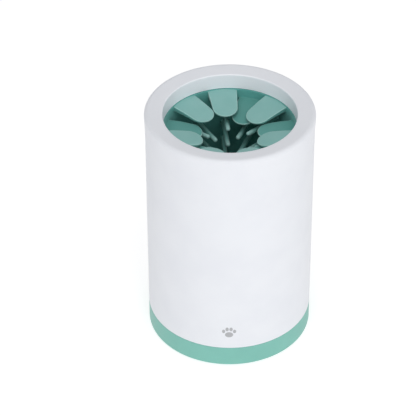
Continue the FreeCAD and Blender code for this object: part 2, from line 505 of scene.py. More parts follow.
@dataclass(frozen=True)
class Rib:
    """One upright rib between two round walls, along +X before it is turned."""

    inner: float
    outer: float
    bottom: float
    top: float
    thickness: float = 1.6 * MM
    rounding: float = 0.35 * MM

    def fuse_round(self, wall: Piece, count: int, rounded: EdgeTest) -> None:
        """Fuses ribs into a wall, evenly spread about the axis.

        Args:
            wall: What they are fused to.
            count: How many ribs there are.
            rounded: Tells which edges of a rib are rounded.
        """
        centre = ((self.inner + self.outer) / 2, 0, (self.bottom + self.top) / 2)
        size = (self.outer - self.inner, self.thickness, self.top - self.bottom)
        for index in range(count):
            rib = Bench.block("rib", centre, size)
            Bench.edit(rib)
            Bench.pick_edges(rib, rounded)
            bpy.ops.mesh.bevel(offset=self.rounding, segments=2, affect="EDGES")
            bpy.ops.object.mode_set(mode="OBJECT")
            Bench.unite(wall, Bench.turn(rib, 2 * math.pi * index / count))


# ---- finishes
class Nodes:
    """Short calls for building one node tree."""

    def __init__(self, tree: bpy.types.NodeTree) -> None:
        """Keeps the tree that nodes are added to."""
        self.tree = tree

    def fill(self, node: bpy.types.Node, inputs: dict[Any, Any]) -> bpy.types.Node:
        """Sets or links a node's inputs.

        Args:
            node: The node.
            inputs: Values or output sockets, by the input's name or number.

        Returns:
            The same node.
        """
        for key, value in inputs.items():
            if isinstance(value, bpy.types.NodeSocket):
                self.tree.links.new(value, node.inputs[key])
            else:
                node.inputs[key].default_value = value
        return node

    def add(
        self, kind: str, inputs: dict[Any, Any] | None = None, **settings: Any
    ) -> bpy.types.Node:
        """Adds a node, sets it and fills or links its inputs.

        Args:
            kind: The node's type.
            inputs: Values or output sockets for its inputs, by name or number.
            **settings: The node's own settings.

        Returns:
            The node.
        """
        node = self.tree.nodes.new(kind)
        for name, value in settings.items():
            setattr(node, name, value)
        return self.fill(node, inputs or {})

    def math(self, operation: str, first: Any, second: Any = 0.0, clamp: bool = False) -> Any:
        """Adds a Math node and returns its output."""
        inputs = {0: first, 1: second}
        return self.add("ShaderNodeMath", inputs, operation=operation, use_clamp=clamp).outputs[0]

    def noise(self, place: Any, scale: Any, detail: float = 3.0, rough: float = 0.5) -> Any:
        """Adds a Noise texture and returns its value."""
        inputs = {"Vector": place, "Scale": scale, "Detail": detail, "Roughness": rough}
        return self.add("ShaderNodeTexNoise", inputs).outputs["Fac"]

    def ramp(
        self, value: Any, low: float, high: float, to_low: float = 0.0, to_high: float = 1.0
    ) -> Any:
        """Adds a smooth Map Range node.

        Args:
            value: What is mapped.
            low: The value that gives the first result.
            high: The value that gives the second.
            to_low: The first result.
            to_high: The second result.

        Returns:
            The node's output.
        """
        node = self.add(
            "ShaderNodeMapRange",
            {"Value": value, "From Min": low, "From Max": high, "To Min": to_low, "To Max": to_high},
            interpolation_type="SMOOTHSTEP",
        )
        return node.outputs["Result"]

    def blend(self, factor: Any, first: Any, second: Any) -> Any:
        """Adds a colour Mix node and returns its colour."""
        inputs = {"Factor": factor, "A": first, "B": second}
        return self.add("ShaderNodeMix", inputs, data_type="RGBA").outputs["Result"]


class Socket(Enum):
    """Kinds of group socket."""

    NUMBER = "NodeSocketFloat"
    PLACE = "NodeSocketVector"


class Effects:
    """Node groups for the surface effects that several finishes share."""

    def __init__(self) -> None:
        """Builds each group once."""
        self.grain = self._moulded_grain()
        self.wear = self._handling_wear()
        # Painted sheen: a paler colour on faces that look up, for the sky's reflection on them.
        self.painted_sheen = self._painted_sheen_group()

    @staticmethod
    def _group(
        name: str, inputs: Sequence[tuple[str, Socket]], outputs: Sequence[str]
    ) -> tuple[Nodes, bpy.types.NodeOutputs, bpy.types.Node]:
        """Starts a group with named sockets.

        Args:
            name: The group's name.
            inputs: Each input's name and kind.
            outputs: The names of its outputs, which are all numbers.

        Returns:
            The group's builder, the sockets of its input node, and its output node.
        """
        tree = bpy.data.node_groups.new(name, "ShaderNodeTree")
        for label, kind in inputs:
            tree.interface.new_socket(label, in_out="INPUT", socket_type=kind.value)
        for label in outputs:
            tree.interface.new_socket(label, in_out="OUTPUT", socket_type=Socket.NUMBER.value)
        build = Nodes(tree)
        return build, build.add("NodeGroupInput").outputs, build.add("NodeGroupOutput")

    def _moulded_grain(self) -> bpy.types.NodeTree:
        """Fine grain left by a mould, with a slow waviness under it.

        Returns:
            The group.
        """
        build, given, result = self._group(
            "moulded_grain",
            [("Place", Socket.PLACE), ("Cells per Metre", Socket.NUMBER), ("Depth", Socket.NUMBER)],
            ["Height", "Speckle"],
        )
        cells = given["Cells per Metre"]
        fine = build.noise(given["Place"], cells, 4.0, 0.6)
        slow = build.noise(given["Place"], build.math("MULTIPLY", cells, 0.06), 2.0)
        fine_share = build.math("MULTIPLY", fine, 0.45)
        mixed = build.math("ADD", fine_share, build.math("MULTIPLY", slow, 0.55))
        height = build.math("MULTIPLY", mixed, given["Depth"])
        build.fill(result, {"Height": height, "Speckle": build.ramp(fine, 0.35, 0.65)})
        return build.tree

    def _handling_wear(self) -> bpy.types.NodeTree:
        """Soft smudges and fine upright rub marks from handling.

        Returns:
            The group.
        """
        build, given, result = self._group(
            "handling_wear",
            [("Place", Socket.PLACE), ("Smudge", Socket.NUMBER), ("Rub", Socket.NUMBER)],
            ["Roughness Shift", "Tint Mask"],
        )
        place = given["Place"]
        smudge = build.ramp(build.noise(place, 28.0, 4.0), 0.42, 0.68)
        stretched = build.add("ShaderNodeMapping", {"Vector": place, "Scale": (900.0, 900.0, 45.0)})
        rub = build.ramp(build.noise(stretched.outputs[0], 1.0, 2.0), 0.6, 0.72)
        smudges = build.math("MULTIPLY", smudge, given["Smudge"])
        rubs = build.math("MULTIPLY", rub, given["Rub"])
        patches = build.ramp(build.noise(place, 60.0, 3.0), 0.3, 0.75)
        shift = build.math("ADD", smudges, rubs)
        build.fill(result, {"Roughness Shift": shift, "Tint Mask": patches})
        return build.tree

    def _painted_sheen_group(self) -> bpy.types.NodeTree:
        """Painted sheen: a paler colour on faces that look up, standing in for the sky's reflection
        on them.

        Returns:
            The group.
        """
        build, given, result = self._group(
            "painted_top_sheen", [("Place", Socket.PLACE), ("Amount", Socket.NUMBER)], ["Mask"]
        )
        normal = build.add("ShaderNodeNewGeometry").outputs["Normal"]
        facing = build.add("ShaderNodeSeparateXYZ", {0: normal})
        # painted reflection: the more a face looks up, the paler it is painted
        upward = build.ramp(facing.outputs["Z"], 0.1, 0.95)
        broken = build.ramp(build.noise(given["Place"], 140.0, 4.0), 0.2, 0.8, 0.75, 1.0)
        settled = build.math("MULTIPLY", upward, broken)
        build.fill(result, {"Mask": build.math("MULTIPLY", settled, given["Amount"])})
        return build.tree


@dataclass(frozen=True)
class Finish:
    """One surface finish, with the strength of each effect on it."""

    name: str
    colour: Colour
    tint: Colour
    # colour of the painted sheen, a painted reflection on faces that look up
    painted_sheen_colour: Colour
    roughness: float
    specular: float = 0.5
    sheen: float = 0.0
    sheen_roughness: float = 0.4
    subsurface: float = 0.0
    grain_cells: float = 2500.0
    grain_depth: float = 1.0
    bump_distance: float = 0.02 * MM
    bump_strength: float = 0.5
    smudge: float = 0.04
    rub: float = 0.03
    # how strongly the painted sheen is blended in on faces that look up
    painted_sheen: float = 0.0
    speckle: float = 0.04

    def make(self, effects: Effects) -> bpy.types.Material:
        """Builds the material from the shared effects.

        Args:
            effects: The node groups.

        Returns:
            The material.
        """
        material = bpy.data.materials.new(self.name)
        material.use_nodes = True
        build = Nodes(material.node_tree)
        place = build.add("ShaderNodeTexCoord").outputs["Object"]
        grain, wear, painted_sheen = (
            build.add("ShaderNodeGroup", {"Place": place}, node_tree=group)
            for group in (effects.grain, effects.wear, effects.painted_sheen)
        )
        build.fill(grain, {"Cells per Metre": self.grain_cells, "Depth": self.grain_depth})
        build.fill(wear, {"Smudge": self.smudge, "Rub": self.rub})
        build.fill(painted_sheen, {"Amount": self.painted_sheen})
        tinted = build.blend(wear.outputs["Tint Mask"], (*self.colour, 1), (*self.tint, 1))
        # Painted sheen: upward faces are blended towards a paler colour, a painted reflection of the
        # sky.
        with_painted_sheen = build.blend(painted_sheen.outputs["Mask"], tinted, (*self.painted_sheen_colour, 1))
        speckled = build.math("MULTIPLY", grain.outputs["Speckle"], self.speckle)
        rough = build.math("ADD", wear.outputs["Roughness Shift"], self.roughness)
        bump = build.add(
            "ShaderNodeBump",
            {"Strength": self.bump_strength, "Distance": self.bump_distance,
             "Height": grain.outputs["Height"]},
        )
        build.fill(material.node_tree.nodes["Principled BSDF"], {
            "Base Color": self.decorate(build, place, with_painted_sheen),
            "Roughness": build.math("ADD", rough, speckled, clamp=True),
            "Normal": bump.outputs["Normal"],
            "Specular IOR Level": self.specular,
            "Sheen Weight": self.sheen,
            "Sheen Roughness": self.sheen_roughness,
            "Subsurface Weight": self.subsurface,
            "Subsurface Radius": (1.0, 1.0, 1.0),
            "Subsurface Scale": 1.0 * MM,
        })
        return material

    def decorate(self, build: Nodes, place: Any, colour: Any) -> Any:
        """Lays nothing over the colour; the finishes below lay their own masks over it.

        Args:
            build: The material's builder.
            place: The Object coordinates.
            colour: The colour so far.

        Returns:
            The colour to use.
        """
        return colour


def axis_distance(build: Nodes, place: Any) -> Any:
    """Adds the nodes that measure how far a place is from the cup's axis.

    Args:
        build: The material's builder.
        place: The Object coordinates.

    Returns:
        The distance's output.
    """
    across = {0: place, 1: (1.0, 1.0, 0.0)}
    level = build.add("ShaderNodeVectorMath", across, operation="MULTIPLY")
    length = build.add("ShaderNodeVectorMath", {0: level.outputs[0]}, operation="LENGTH")
    return length.outputs["Value"]


@dataclass(frozen=True)
class PrintedFinish(Finish):
    """A finish with a small plain paw printed on the front and painted light on the inner skirt,
    which is painted paler so that it looks more brightly lit.
    """

    # painted light: the paler colour of the inner skirt
    skirt_light_colour: Colour = (0.95, 0.955, 1.0)
    skirt_radius: float = 34.6 * MM
    lip_radius: float = 35.1 * MM
    ink: Colour = (0.42, 0.425, 0.44)
    print_height: float = 22.8 * MM
    print_size: float = 8.0 * MM
    front_limit: float = -11.4 * MM
    edge_softness: float = 0.06
    pads: tuple[tuple[float, float, float, float], ...] = (
        (0.0, -0.18, 0.27, 0.22),
        (-0.36, 0.10, 0.105, 0.15),
        (-0.13, 0.28, 0.11, 0.16),
        (0.13, 0.28, 0.11, 0.16),
        (0.36, 0.10, 0.105, 0.15),
    )

    def decorate(self, build: Nodes, place: Any, colour: Any) -> Any:
        """Paints light on the skirt, paler so that it looks more brightly lit, then prints the paw,
        whose ovals are shares of its size.

        Args:
            build: The material's builder.
            place: The Object coordinates.
            colour: The colour so far.

        Returns:
            The colour to use.
        """
        radius = axis_distance(build, place)
        # Painted light: the inner skirt is blended towards a paler colour.
        painted_skirt_light = build.ramp(radius, self.skirt_radius, self.lip_radius, 1.0, 0.0)
        colour = build.blend(painted_skirt_light, colour, (*self.skirt_light_colour, 1))
        axes = build.add("ShaderNodeSeparateXYZ", {0: place})
        printed: Any = 0.0
        for across, up, half_width, half_height in self.pads:
            middle = self.print_height + up * self.print_size
            aside = self._offset(build, axes.outputs["X"], across * self.print_size, half_width)
            above = self._offset(build, axes.outputs["Z"], middle, half_height)
            reach = build.math("SQRT", build.math("ADD", aside, above))
            pad = build.ramp(reach, 1 - self.edge_softness, 1 + self.edge_softness, 1.0, 0.0)
            printed = build.math("MAXIMUM", printed, pad)
        front = build.math("LESS_THAN", axes.outputs["Y"], self.front_limit)
        return build.blend(build.math("MULTIPLY", printed, front), colour, (*self.ink, 1))

    def _offset(self, build: Nodes, value: Any, centre: float, half_share: float) -> Any:
        """Adds the nodes for the squared distance from a pad's centre on one axis.

        Args:
            build: The material's builder.
            value: The coordinate on that axis.
            centre: The pad's centre on it.
            half_share: The pad's half size, as a share of the print's size.

        Returns:
            The output, as a share of the pad's half size.
        """
        away = build.math("SUBTRACT", value, centre)
        share = build.math("DIVIDE", away, half_share * self.print_size)
        return build.math("MULTIPLY", share, share)


@dataclass(frozen=True)
class EdgedFinish(Finish):
    """A soft finish with painted shade on the lower row and a painted highlight on thin rounded
    edges.
    """

    painted_shade_colour: Colour = (0.07, 0.295, 0.26)
    painted_shade_amount: float = 0.8
    edge_highlight_colour: Colour = (0.42, 0.68, 0.63)
    edge_highlight_amount: float = 0.75

    def decorate(self, build: Nodes, place: Any, colour: Any) -> Any:
        """Paints the row's shade, then paints a highlight on the faces that the edge values mark.

        Args:
            build: The material's builder.
            place: The Object coordinates.
            colour: The colour so far.

        Returns:
            The colour to use.
        """
        # Painted shade: the lower row is darkened where the upper row shades it.
        tone = build.add("ShaderNodeAttribute", attribute_name=PAINTED_SHADE_VALUES).outputs["Fac"]
        painted_shade_mask = build.math("MULTIPLY", tone, self.painted_shade_amount, clamp=True)
        colour = build.blend(painted_shade_mask, colour, (*self.painted_shade_colour, 1))
        # Painted highlight: a paler colour on the thin rounded edges, where they catch the light.
        edge_highlight_marks = build.add("ShaderNodeAttribute", attribute_name=EDGE_HIGHLIGHT_VALUES).outputs["Fac"]
        painted_light_mask = build.math("MULTIPLY", edge_highlight_marks, self.edge_highlight_amount, clamp=True)
        return build.blend(painted_light_mask, colour, (*self.edge_highlight_colour, 1))


@dataclass(frozen=True)
class TippedFinish(Finish):
    """A soft finish with painted light: paler towards the cup's axis, at the pins' tips, than on the
    shaded stems.
    """

    lit_tip_colour: Colour = (0.42, 0.66, 0.62)
    lit_tip_amount: float = 0.6
    pale_radius: float = 13.6 * MM
    plain_radius: float = 19.0 * MM

    def decorate(self, build: Nodes, place: Any, colour: Any) -> Any:
        """Paints light by the distance from the axis, paler towards the tips.

        Args:
            build: The material's builder.
            place: The Object coordinates.
            colour: The colour so far.

        Returns:
            The colour to use.
        """
        radius = axis_distance(build, place)
        # Painted light: the tips are painted paler, the stems left as in shade.
        painted_light_mask = build.ramp(radius, self.pale_radius, self.plain_radius, self.lit_tip_amount, 0.0)
        return build.blend(painted_light_mask, colour, (*self.lit_tip_colour, 1))


class FinishName(Enum):
    """The finishes by their slot in the record."""

    SHELL = "shell_white"
    SLEEVE = "sleeve_white"
    LINER = "liner_silicone"
    PETAL = "petal_silicone"
    BRISTLE = "bristle_silicone"
    BASE = "base_teal"
    GASKET = "gasket_silicone"
    FOOT = "foot_rubber"


# The third colour of each finish, with its sheen amount, paints a paler reflection on faces that
# look up.
FINISHES: dict[FinishName, Finish] = {
    FinishName.SHELL: PrintedFinish(
        "white_polypropylene", (0.80, 0.815, 0.85), (0.775, 0.79, 0.83),
        (0.83, 0.84, 0.87), roughness=0.42, specular=0.45, grain_cells=1800.0,
        bump_distance=0.015 * MM, painted_sheen=0.3,
    ),
    FinishName.SLEEVE: Finish(
        "matt_polypropylene", (0.76, 0.77, 0.79), (0.73, 0.74, 0.76),
        (0.79, 0.8, 0.81), roughness=0.55, grain_cells=1500.0,
    ),
    FinishName.LINER: Finish(
        "lining_silicone", (0.125, 0.42, 0.385), (0.11, 0.39, 0.355),
        (0.2, 0.45, 0.42), roughness=0.58, specular=0.4, sheen=0.25, grain_cells=2200.0,
        bump_distance=0.03 * MM, painted_sheen=0.3,
    ),
    # Petals: painted shade on the lower row and a painted highlight on the rounded edges.
    FinishName.PETAL: EdgedFinish(
        "petal_silicone", (0.15, 0.42, 0.385), (0.135, 0.39, 0.355),
        (0.33, 0.56, 0.53), roughness=0.55, specular=0.42, sheen=0.35, grain_cells=2200.0,
        bump_distance=0.03 * MM, painted_sheen=0.6,
    ),
    # Pins: painted light makes the tips paler than the shaded stems.
    FinishName.BRISTLE: TippedFinish(
        "pin_silicone", (0.16, 0.46, 0.42), (0.14, 0.42, 0.385),
        (0.3, 0.55, 0.51), roughness=0.5, specular=0.45, sheen=0.3, grain_cells=2600.0,
        painted_sheen=0.5,
    ),
    FinishName.BASE: Finish(
        "teal_plastic", (0.205, 0.51, 0.435), (0.19, 0.48, 0.41),
        (0.27, 0.58, 0.5), roughness=0.4, specular=0.45, grain_cells=1800.0,
        bump_distance=0.015 * MM, painted_sheen=0.2,
    ),
    FinishName.GASKET: Finish(
        "clear_silicone", (0.72, 0.75, 0.75), (0.68, 0.71, 0.71),
        (0.76, 0.78, 0.78), roughness=0.45, subsurface=0.3, grain_cells=2200.0,
    ),
    FinishName.FOOT: Finish(
        "foot_rubber", (0.10, 0.27, 0.24), (0.085, 0.24, 0.215),
        (0.14, 0.3, 0.28), roughness=0.7, specular=0.3, grain_cells=1600.0,
        bump_distance=0.04 * MM, painted_sheen=0.2,
    ),
}


class Dresser:
    """Gives pieces their finish, body and CAD nodes."""

    def __init__(self) -> None:
        """Builds each finish's material once."""
        effects = Effects()
        self.materials = {name: finish.make(effects) for name, finish in FINISHES.items()}

    def fit(self, piece: Piece, finish: FinishName, node: str, body: str) -> Piece:
        """Shades and dresses a stiff piece and fixes it to its body.

        Args:
            piece: The piece.
            finish: Its finish.
            node: The CAD node that it stands for.
            body: The body that it moves with.

        Returns:
            The same piece.
        """
        Bench.finish(piece)
        self.dress(piece, finish, node)
        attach(piece, body)
        return piece

    def dress(self, piece: Piece, finish: FinishName, *nodes: str) -> None:
        """Puts a finish on a piece and says which CAD nodes it stands for.

        Args:
            piece: The piece.
            finish: Its finish.
            *nodes: The CAD nodes.
        """
        piece.data.materials.clear()
        piece.data.materials.append(self.materials[finish])
        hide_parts(*nodes)
        log.info("%s: %d faces, for %s", piece.name, len(piece.data.polygons), ", ".join(nodes))


# ---- hard parts
@dataclass
class Shell:
    """White tube with its turned-in lip, inner skirt, centring ribs and inside thread."""

    rim_radius: float
    top: float
    foot: float
    skirt_bottom: float
    body_radius: float = 43.6 * MM
    bore: float = 41.4 * MM
    mouth: float = 34.5 * MM
    skirt_radius: float = 36.5 * MM
    rim_band: float = 12.0 * MM
    lip_drop: float = 1.0 * MM
    lip_wall: float = 2.2 * MM
    wall_rings: tuple[float, float] = (36.0 * MM, 72.0 * MM)
    rim_rounding: float = 1.9 * MM
    rim_gap: float = 0.1 * MM
    rim_flat: float = 1.3
    lip_rounding: float = 0.8 * MM
    rib_count: int = 6
    rib_inner: float = 38.25 * MM
    rib_start: float = 9.0 * MM
    rib_end: float = 1.7 * MM
    female_crest: float = 40.4 * MM
    female_start: float = 1.2 * MM
    female_turns: float = 0.375

    def build(self, dresser: Dresser) -> list[Piece]:
        """Turns the shell, adds its ribs and thread, and dresses it.

        Args:
            dresser: Gives the finishes, bodies and CAD nodes.

        Returns:
            The pieces.
        """
        lip_top = self.top - self.lip_drop
        underside = lip_top - self.lip_wall
        levels = [self.foot + rise for rise in self.wall_rings] + [self.top - self.rim_band]
        shell = Lathe.turn("outer_shell_visual", [
            Corner(self.body_radius, self.foot, 0.35 * MM),
            *(Corner(self.body_radius, level) for level in levels),
            Corner(self.rim_radius, self.top - self.rim_rounding - self.rim_gap),
            Corner(self.rim_radius, self.top, self.rim_rounding, 6),
            Corner(self.rim_radius - self.rim_flat * self.rim_rounding, self.top),
            Corner(self.mouth, lip_top, self.lip_rounding, 5),
            Corner(self.mouth, self.skirt_bottom, 0.3 * MM),
            Corner(self.skirt_radius, self.skirt_bottom, 0.2 * MM),
            Corner(self.skirt_radius, underside),
            Corner(self.bore, underside),
            *(Corner(self.bore, level) for level in reversed(levels)),
            Corner(self.bore, self.foot, 0.3 * MM),
        ])
        rib = Rib(
            inner=self.rib_inner, outer=(self.bore + self.body_radius) / 2,
            bottom=self.foot + self.rib_start, top=self.skirt_bottom - self.rib_end,
        )
        rib.fuse_round(shell, self.rib_count, edges_near(X, rib.inner))
        start = self.foot + self.female_start
        thread = Thread(self.bore, self.female_crest, start, self.female_turns)
        Bench.unite(shell, thread.build("female_thread"))
        return [dresser.fit(shell, FinishName.SHELL, "outer_shell", "cup")]


@dataclass
class Base:
    """Screwed base: wall, shoulder, gasket seat, bowl, threaded collar, ribs and foot ring."""

    seam: float
    ground_gap: float
    wall_outer: float = 43.6 * MM
    wall_inner: float = 41.4 * MM
    deck: float = 2.2 * MM
    collar_outer: float = 40.0 * MM
    collar_inner: float = 38.4 * MM
    collar_rise: float = 8.0 * MM
    ledge: float = 1.0 * MM
    bowl_radius: float = 34.5 * MM
    bowl_outer: float = 36.5 * MM
    plate_bottom: float = 1.0 * MM
    plate_top: float = 4.0 * MM
    plate_ring: float = 20.0 * MM
    bowl_ring: float = 17.0 * MM
    foot_inner: float = 31.0 * MM
    foot_outer: float = 36.0 * MM
    foot_groove: float = 1.0 * MM
    rib_count: int = 8
    rib_embed: float = 1.0 * MM
    rib_lift: float = 0.8 * MM
    male_crest: float = 41.0 * MM
    male_start: float = 1.7 * MM

    def build(self, dresser: Dresser) -> list[Piece]:
        """Makes the base cap and the foot ring, and dresses them.

        Args:
            dresser: Gives the finishes, bodies and CAD nodes.

        Returns:
            The pieces.
        """
        groove = self.plate_bottom + self.foot_groove
        deck_bottom = self.seam - self.deck
        collar_top = self.seam + self.collar_rise
        ledge_bottom, ledge_top = self.seam - self.ledge, self.seam + self.ledge
        outline = [
            Corner(0, self.plate_bottom),
            Corner(self.plate_ring, self.plate_bottom),
            Corner(self.foot_inner, self.plate_bottom, 0.15 * MM, 2),
            Corner(self.foot_inner, groove),
            Corner(self.foot_outer, groove),
            Corner(self.foot_outer, self.plate_bottom, 0.15 * MM, 2),
            Corner(self.bowl_outer, self.plate_bottom, 0.2 * MM, 2),
            Corner(self.bowl_outer, ledge_bottom),
            Corner(self.collar_inner, ledge_bottom),
            Corner(self.collar_inner, deck_bottom),
            Corner(self.wall_inner, deck_bottom, 0.4 * MM, 2),
            Corner(self.wall_inner, self.ground_gap, 0.3 * MM, 2),
            Corner(self.wall_outer, self.ground_gap, 0.8 * MM, 4),
            Corner(self.wall_outer, self.seam, 0.35 * MM, 3),
            Corner(self.collar_outer, self.seam),
            Corner(self.collar_outer, collar_top, 0.4 * MM, 3),
            Corner(self.collar_inner, collar_top, 0.3 * MM, 2),
            Corner(self.collar_inner, ledge_top),
            Corner(self.bowl_radius, ledge_top, 0.4 * MM, 3),
            Corner(self.bowl_radius, self.plate_top, 2.5 * MM, 6),
            Corner(self.bowl_ring, self.plate_top),
            Corner(0, self.plate_top),
        ]
        cap = Lathe.turn("base_cap_visual", outline)
        rib = Rib(
            inner=self.bowl_outer - self.rib_embed, outer=self.wall_inner + self.rib_embed,
            bottom=self.ground_gap + self.rib_lift, top=deck_bottom + self.rib_embed,
        )
        rib.fuse_round(cap, self.rib_count, edges_near(Z, rib.bottom, along_y=False))
        thread = Thread(self.collar_outer, self.male_crest, self.seam + self.male_start, 0.0)
        Bench.unite(cap, thread.build("male_thread"))
        foot_outline = [
            Corner(self.foot_inner, 0, 0.5 * MM, 4),
            Corner(self.foot_outer, 0, 0.5 * MM, 4),
            Corner(self.foot_outer, groove, 0.1 * MM, 1),
            Corner(self.foot_inner, groove, 0.1 * MM, 1),
        ]
        dresser.fit(cap, FinishName.BASE, "base_cap", "base")
        foot = Lathe.turn("foot_ring_visual", foot_outline, HIDDEN_RING_SEGMENTS)
        return [cap, dresser.fit(foot, FinishName.FOOT, "foot_ring", "base")]


@dataclass
class Lining:
    """Gasket, stiff sleeve and soft silicone lining."""

    top: float
    gasket_bottom: float
    mouth: float = 34.5 * MM
    liner_outer: float = 36.5 * MM
    sleeve_inner: float = 36.6 * MM
    sleeve_outer: float = 38.1 * MM
    top_flange: float = 1.7 * MM
    foot_flange: float = 1.5 * MM
    gasket_inner: float = 34.9 * MM
    gasket_thickness: float = 1.5 * MM
    liner_rings: tuple[float, float, float] = (112.0 * MM, 80.0 * MM, 45.0 * MM)

    def build(self, dresser: Dresser) -> list[Piece]:
        """Makes and dresses the three rings.

        Args:
            dresser: Gives the finishes, bodies and CAD nodes.

        Returns:
            The pieces.
        """
        gasket_top = self.gasket_bottom + self.gasket_thickness
        sleeve_bottom = gasket_top + self.foot_flange
        sleeve_top = self.top - self.top_flange
        gasket = Lathe.turn("base_gasket_visual", [
            Corner(self.gasket_inner, self.gasket_bottom, 0.4 * MM, 3),
            Corner(self.sleeve_outer, self.gasket_bottom, 0.2 * MM, 2),
            Corner(self.sleeve_outer, gasket_top, 0.2 * MM, 2),
            Corner(self.gasket_inner, gasket_top, 0.3 * MM, 3),
        ], HIDDEN_RING_SEGMENTS)
        dresser.fit(gasket, FinishName.GASKET, "base_gasket", "gasket")
        sleeve = Lathe.turn("inner_sleeve_visual", [
            Corner(self.sleeve_inner, sleeve_bottom, 0.25 * MM, 2),
            Corner(self.sleeve_outer, sleeve_bottom, 0.25 * MM, 2),
            Corner(self.sleeve_outer, sleeve_top / 2),
            Corner(self.sleeve_outer, sleeve_top, 0.25 * MM, 2),
            Corner(self.sleeve_inner, sleeve_top, 0.25 * MM, 2),
            Corner(self.sleeve_inner, sleeve_top / 2),
        ], HIDDEN_RING_SEGMENTS)
        dresser.fit(sleeve, FinishName.SLEEVE, "inner_sleeve", "cup")
        liner = Lathe.turn("brush_liner_visual", [
            Corner(self.mouth, gasket_top, 0.25 * MM, 2),
            Corner(self.sleeve_outer, gasket_top, 0.2 * MM, 2),
            Corner(self.sleeve_outer, sleeve_bottom, 0.2 * MM, 2),
            Corner(self.liner_outer, sleeve_bottom),
            Corner(self.liner_outer, sleeve_top / 2),
            Corner(self.liner_outer, sleeve_top),
            Corner(self.sleeve_outer, sleeve_top, 0.2 * MM, 2),
            Corner(self.sleeve_outer, self.top, 0.2 * MM, 2),
            Corner(self.mouth, self.top, 0.9 * MM, 5),
            *(Corner(self.mouth, level) for level in self.liner_rings),
        ])
        dresser.fit(liner, FinishName.LINER, "brush_liner", "cup")
        return [gasket, sleeve, liner]


# ---- soft parts
@dataclass(frozen=True)
class PetalRow:
    """One row of petals: the name of its bodies, its painted shade, slope and each petal's own sag.
    """

    prefix: str
    # painted shade: 1 darkens the row, which the row above shades
    tone: float
    first_slope: float
    last_slope: float
    sags: tuple[float, ...]


